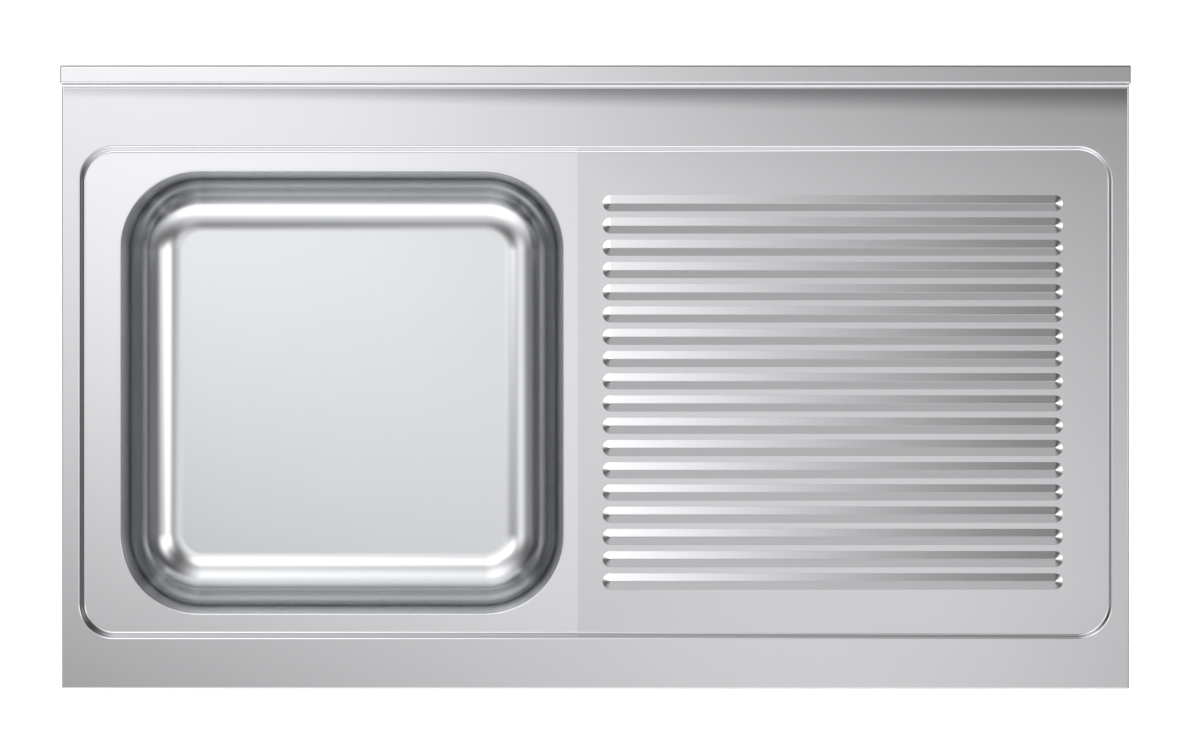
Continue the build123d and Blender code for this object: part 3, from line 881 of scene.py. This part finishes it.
# bitumen sound-deadening sheet: matt black with the small dimples of its embossing roller
def bitumenPad():
    look = {"dimpleTop": "2b2b2d", "deep": "161617", "dimple": 3 * mm, "depth": 0.5 * mm}
    fine = {"size": 0.6 * mm, "share": 0.25}
    material, tree, shader, place = newMaterial("bitumenPad", Roughness=0.78)
    roller = {"Vector": place, "Scale": 1 / look["dimple"]}
    dimple = addNode(tree, "ShaderNodeTexVoronoi", {"feature": "SMOOTH_F1"}, roller).outputs["Distance"]
    # painted shade: the dimples' hollows are darker than their tops
    mixColours(material, dimple, linearColour(look["deep"]), linearColour(look["dimpleTop"]))
    grit = {"Vector": place, "Scale": 1 / fine["size"], "Detail": 2}
    fines = addNode(tree, "ShaderNodeTexNoise", inputs=grit)
    layers = {0: fines.outputs["Fac"], 1: fine["share"], 2: dimple}
    rough = addNode(tree, "ShaderNodeMath", {"operation": "MULTIPLY_ADD"}, layers)
    relief = {"Height": rough.outputs[0], "Distance": look["depth"], "Strength": 0.7}
    bump = addNode(tree, "ShaderNodeBump", inputs=relief)
    tree.links.new(bump.outputs[0], shader.inputs["Normal"])
    return material


satin = satinStainless("satinStainless", "c5c5c7")
# the border's colour carries a painted shade in front of the upstand
satinBorder = paintShadeAtUpstand(satinStainless("satinBorder", "c0c0c2"))
satinBowl = dullOnWalls(satinStainless("satinBowl", "c8c9cb", 0.18))
satinReground = satinStainless("satinReground", "c9c9cb")  # ground again round the bowl, so lighter
satinDrainer = satinStainless("satinDrainer", "bebec0")  # as pressed, a shade darker
darkSeamAndShadedFold = satinStainless("darkSeamAndShadedFold", "77787a", 0.42, 0.03 * mm)  # dull and dark: the end plates' seams ground by hand, and a painted shade on the rear fold
welded, galvanised, zinc, bitumen = weldedSteel(), galvanisedSteel(), brightZinc(), bitumenPad()
finishes = {
    "satin_stainless": satin,
    "galvanised_steel": galvanised,
    "zinc_fastener": zinc,
    "bitumen_pad": bitumen,
}
print("finishes made:", sorted(finishes))

# CAD nodes that are shown as they are get the finish of their slot
for item in frame["record"]["subparts"]:
    material = finishes[item["material_slot"]]
    for slot in frame["nodes"][item["node"]].material_slots:
        slot.material = material


def report(stage, *pieces):
    print(stage + ":", [(piece.name, len(piece.data.polygons)) for piece in pieces])


# hangs a finished piece under the root body and hides the CAD nodes that it stands for
def settle(piece, slot, *nodes):
    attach(piece, "root")
    if nodes:
        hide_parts(*nodes)


# finishes of the top, by number: 0 aprons, bends and tray wall, 1 border, 2 floor round the bowl,
# 3 drainer. The tray's floor starts past its wall, and the border is what faces straight up.
zone = {"floorInset": 9 * mm, "level": 0.99}


def zoneOf(spot, facing):
    inTray = all(abs(spot[i] - trayCentre[i]) < trayHalf[i] - zone["floorInset"] for i in (0, 1))
    if spot.z < topZ / 2:
        return 0
    if inTray:
        return 2 if spot.x < crease else 3
    return 1 if facing.z > zone["level"] else 0


worktopSheet = buildWorktop()
worktopSheet.data.materials.clear()
for material in (satin, satinBorder, satinReground, satinDrainer):
    worktopSheet.data.materials.append(material)
for polygon in worktopSheet.data.polygons:
    polygon.material_index = zoneOf(polygon.center, polygon.normal)
settle(worktopSheet, "satin_stainless", "worktop_sheet")
bowlShell = buildBowl()
upstandSheet = buildUpstand()
for piece, node, material in ((bowlShell, "bowl", satinBowl), (upstandSheet, "upstand", satin)):
    piece.data.materials.append(material)
    settle(piece, "satin_stainless", node)

# the end plates' seams are ground by hand and dark; the rear fold's dark colour is a painted shade
upstandSheet.data.materials.append(darkSeamAndShadedFold)
rearward, upturned = upstand["cornerFacing"]
for polygon in upstandSheet.data.polygons:
    spot, facing = polygon.center, polygon.normal
    atEnd = side - abs(spot.x) < upstand["endSeam"]
    atCorner = facing.y > rearward and facing.z > upturned
    aboveCove = spot.z > topZ + upstand["coveRadius"]
    polygon.material_index = 1 if aboveCove and (atEnd or atCorner) else 0
report("sheets built", worktopSheet, bowlShell, upstandSheet)

# fasteners at the four corners
pointTree = repeatTree("partsOnPoints", False)
lineTree = repeatTree("partsAlongLines", True)
studLow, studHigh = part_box("bracket_studs")
studRadius = fastener["thread"] / 2
cornerSpots = []
for x in (studLow.x + studRadius, studHigh.x - studRadius):
    cornerSpots += [(x, studLow.y + studRadius), (x, studHigh.y - studRadius)]
cornerStuds = cornerFasteners("cornerStuds", "bracket_studs", threadRows, False)
cornerWashers = cornerFasteners("cornerWashers", "bracket_washers", lambda t: washerRows(0, t), True)
cornerNuts = cornerFasteners("cornerNuts", "bracket_nuts", nutRows, True)
settle(cornerStuds, "zinc_fastener", "bracket_studs")
settle(cornerWashers, "zinc_fastener", "bracket_washers")
settle(cornerNuts, "zinc_fastener", "bracket_nuts")


# bonding bolt with its head to the rear, its washers and its nut; each is made along z and laid along +y
def layAlongY(name, parts, x, y, z):
    bm = bmesh.new()
    for part in parts:
        bm.from_mesh(part.data)
        bpy.data.objects.remove(part)
    bm.transform(Matrix.Translation((x, y, z)) @ Matrix.Rotation(-pi / 2, 4, "X"))
    mesh = bpy.data.meshes.new(name)
    bm.to_mesh(mesh)
    bm.free()
    mesh.shade_smooth()
    mesh.set_sharp_from_angle(angle=fastener["sharp"])
    mesh.materials.append(zinc)
    return pieceFrom(name, mesh)


boltLow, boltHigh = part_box("earth_bolt")
earthX, earthZ = (boltLow.x + boltHigh.x) / 2, (boltLow.z + boltHigh.z) / 2
shank = boltHigh.y - boltLow.y - fastener["headHeight"]
around = fastener["around"]
boltParts = [
    turnedPart("shank", threadRows(shank + fastener["edge"]), around),
    turnedPart("head", hexRows(shank, shank + fastener["headHeight"], False), around),
]
earthBolt = layAlongY("earthBolt", boltParts, earthX, boltLow.y, earthZ)
settle(earthBolt, "zinc_fastener", "earth_bolt")
nutLow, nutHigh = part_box("earth_nut")
nutPart = turnedPart("nut", nutRows(nutHigh.y - nutLow.y), around, True)
earthNut = layAlongY("earthNut", [nutPart], earthX, nutLow.y, earthZ)
settle(earthNut, "zinc_fastener", "earth_nut")
washerLow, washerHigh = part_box("bracket_washers")
washerThick = washerHigh.z - washerLow.z
pairLow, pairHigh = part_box("earth_washers")
washerPair = []
for y in (0, pairHigh.y - pairLow.y - washerThick):
    washerPair.append(turnedPart("washer", washerRows(y, y + washerThick), around, True))
earthWashers = layAlongY("earthWashers", washerPair, earthX, pairLow.y, earthZ)
settle(earthWashers, "zinc_fastener", "earth_washers")
report("fasteners made", cornerStuds, cornerNuts, cornerWashers, earthBolt, earthNut, earthWashers)


# weld under the bowl's joint: overlapping ripples along the seam
def buildSeamWeld():
    half = weld["beadWidth"] / 2
    neckWidth, neckDepth = weld["beadNeck"]
    profile = [(half * sin(t), -weld["beadDepth"] * cos(t)) for t in weld["beadTurns"]]
    ripple = turnedPart("ripple", profile + [(half * neckWidth, neckDepth)], weld["beadSides"])
    under = rimZ - top["sheet"]
    host = hostObject("seamWeld", [([(p[0], p[1], under) for p in bowlSeam()], True)])
    mesh = treeMesh(lineTree, host, {"Part": ripple, "Finish": welded, "Spacing": weld["beadSpacing"]})
    bpy.data.objects.remove(ripple)
    return pieceFrom("seamWeld", mesh)


# electrode marks of the spot welds along the brims of rails and channels
def buildSpotWelds():
    rim, low = weld["spot"] / 2, -weld["spotHeight"]
    profile = [(rim * out, low * down) for out, down in weld["spotShape"]]
    mark = turnedPart("mark", profile, weld["spotSides"])
    lines = []
    for node in ("front_rail", "rear_rail"):
        first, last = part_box(node)
        for y in (first.y + weld["railBrim"] / 2, last.y - weld["railBrim"] / 2):
            z = last.z - weld["brimSheet"]
            lines.append(([(first.x + weld["spotEnd"], y, z), (last.x - weld["spotEnd"], y, z)], False))
    for node in sorted(n for n in frame["nodes"] if n.startswith("drainer_channel")):
        first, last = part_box(node)
        for x in (first.x + weld["channelBrim"] / 2, last.x - weld["channelBrim"] / 2):
            z = trayZ(x) - (top["sheet"] + weld["brimSheet"]) / cos(fall)
            lines.append(([(x, first.y + weld["spotEnd"], z), (x, last.y - weld["spotEnd"], z)], False))
    host = hostObject("spotWelds", lines)
    mesh = treeMesh(lineTree, host, {"Part": mark, "Finish": galvanised, "Spacing": weld["spotSpacing"]})
    bpy.data.objects.remove(mark)
    return pieceFrom("spotWelds", mesh)


seamWeld = buildSeamWeld()
settle(seamWeld, "satin_stainless")
spotWelds = buildSpotWelds()
settle(spotWelds, "galvanised_steel")
report("welds made", seamWeld, spotWelds)


# Stage: a pale floor, and a light tent with soft oval lights. Each is given by its angle from the zenith
# and its bearing from +x, its widths down the tent and round it, all in degrees, and its strength.
tent = {
    "radius": 4.0,
    "glow": 0.04,  # even glow of the whole tent
    "around": 144,
    "rings": 72,
    "lights": {
        # overhead: mirrored by the flat sheet, brightest over the rear left corner
        "skyRearLeft": (8, 150, 6, 7, 1.35),
        "skyFrontRight": (7, 322, 6.5, 7.5, 1.15),
        # behind: the bright upper faces of the ribs, and the bowl's front round
        "rearBox": (20, 112, 5, 6, 3.6),
        "rearLow": (52, 108, 15, 16, 2.1),
        # before: the ribs' grey lower faces, and the bowl's rear round
        "frontFill": (24, 272, 5, 12, 0.6),
        "frontLow": (50, 262, 12, 30, 2.8),
        "frontFar": (76, 250, 9, 20, 1.6),
        # right and left: the ribs' ends and the bowl's side rounds
        "rightBox": (30, 6, 6, 6, 3.4),
        "rightLow": (45, 16, 6, 9, 2.3),
        "leftBox": (24, 156, 5, 5, 3.6),
        "leftLow": (40, 180, 7, 9, 1.5),
    },
}
floor = {
    "size": 60.0,
    "below": 0.5 * mm,  # gap under the object
    "paint": "f4f4f4",
    "glow": 0.6,  # makes the lit paint come out white
}


# brightness of one oval light in a direction: strongest at its centre, fading like a bell curve
def ovalLight(way, zenith, bearing, tall, wide, strength):
    z, b = radians(zenith), radians(bearing)
    if way.dot(Vector((sin(z) * cos(b), sin(z) * sin(b), cos(z)))) < 0:
        return 0
    down = way.dot(Vector((cos(z) * cos(b), cos(z) * sin(b), -sin(z)))) / radians(tall)
    along = way.dot(Vector((-sin(b), cos(b), 0))) / radians(wide)
    return strength * exp(-(down**2 + along**2) / 2)


def buildTent():
    bm = bmesh.new()
    sphere = {"u_segments": tent["around"], "v_segments": tent["rings"], "radius": tent["radius"]}
    bmesh.ops.create_uvsphere(bm, **sphere)
    mesh = bpy.data.meshes.new("lightTent")
    bm.to_mesh(mesh)
    bm.free()
    glow = mesh.attributes.new("glow", "FLOAT", "POINT")
    for item, vert in zip(glow.data, mesh.vertices):
        way = vert.co.normalized()
        item.value = tent["glow"] + sum(ovalLight(way, *light) for light in tent["lights"].values())
    made = pieceFrom("lightTent", mesh)
    made.visible_camera = False
    material = bpy.data.materials.new("tentCloth")
    material.use_nodes = True
    tree = material.node_tree
    tree.nodes.clear()
    cloth = addNode(tree, "ShaderNodeAttribute", {"attribute_name": "glow"})
    light = addNode(tree, "ShaderNodeEmission", inputs={"Strength": cloth.outputs["Fac"]})
    addNode(tree, "ShaderNodeOutputMaterial", inputs={"Surface": light.outputs[0]})
    mesh.materials.append(material)
    made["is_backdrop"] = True


# 1 for rays of the camera, of mirroring surfaces and of clear ones, 0 for rays that only bring light
def seenDirectly(tree):
    rays = addNode(tree, "ShaderNodeLightPath").outputs
    seen = rays["Is Camera Ray"]
    for kind in ("Is Glossy Ray", "Is Transmission Ray"):
        either = addNode(tree, "ShaderNodeMath", {"operation": "MAXIMUM"}, {0: seen, 1: rays[kind]})
        seen = either.outputs[0]
    return seen


def buildFloor():
    bm = bmesh.new()
    bmesh.ops.create_grid(bm, x_segments=1, y_segments=1, size=floor["size"] / 2)
    mesh = bpy.data.meshes.new("floor")
    bm.to_mesh(mesh)
    bm.free()
    mesh.transform(Matrix.Translation((0, 0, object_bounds()[0].z - floor["below"])))
    made = pieceFrom("floor", mesh)
    material = bpy.data.materials.new("paleFloor")
    material.use_nodes = True
    tree = material.node_tree
    tree.nodes.clear()
    product = {0: seenDirectly(tree), 1: floor["glow"]}
    strength = addNode(tree, "ShaderNodeMath", {"operation": "MULTIPLY"}, product)
    white = addNode(tree, "ShaderNodeEmission", inputs={"Strength": strength.outputs[0]})
    paint = addNode(tree, "ShaderNodeBsdfDiffuse", inputs={"Color": linearColour(floor["paint"])})
    both = addNode(tree, "ShaderNodeAddShader", inputs={0: white.outputs[0], 1: paint.outputs[0]})
    clear = addNode(tree, "ShaderNodeBsdfTransparent")
    below = addNode(tree, "ShaderNodeNewGeometry").outputs["Backfacing"]  # it is seen through from below
    sides = {0: below, 1: both.outputs[0], 2: clear.outputs[0]}
    choice = addNode(tree, "ShaderNodeMixShader", inputs=sides)
    addNode(tree, "ShaderNodeOutputMaterial", inputs={"Surface": choice.outputs[0]})
    mesh.materials.append(material)
    made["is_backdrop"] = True


# white where it is seen, and no light of its own
def buildWorld():
    world = bpy.data.worlds.new("paleBackdrop")
    bpy.context.scene.world = world
    world.use_nodes = True
    tree = world.node_tree
    backdrop = tree.nodes["Background"].inputs
    backdrop["Color"].default_value = (1, 1, 1, 1)
    tree.links.new(seenDirectly(tree), backdrop["Strength"])


buildTent()
buildFloor()
buildWorld()
print("stage built: tent with", len(tent["lights"]), "lights, floor and backdrop")
bpy.context.scene.view_settings.view_transform = "Standard"
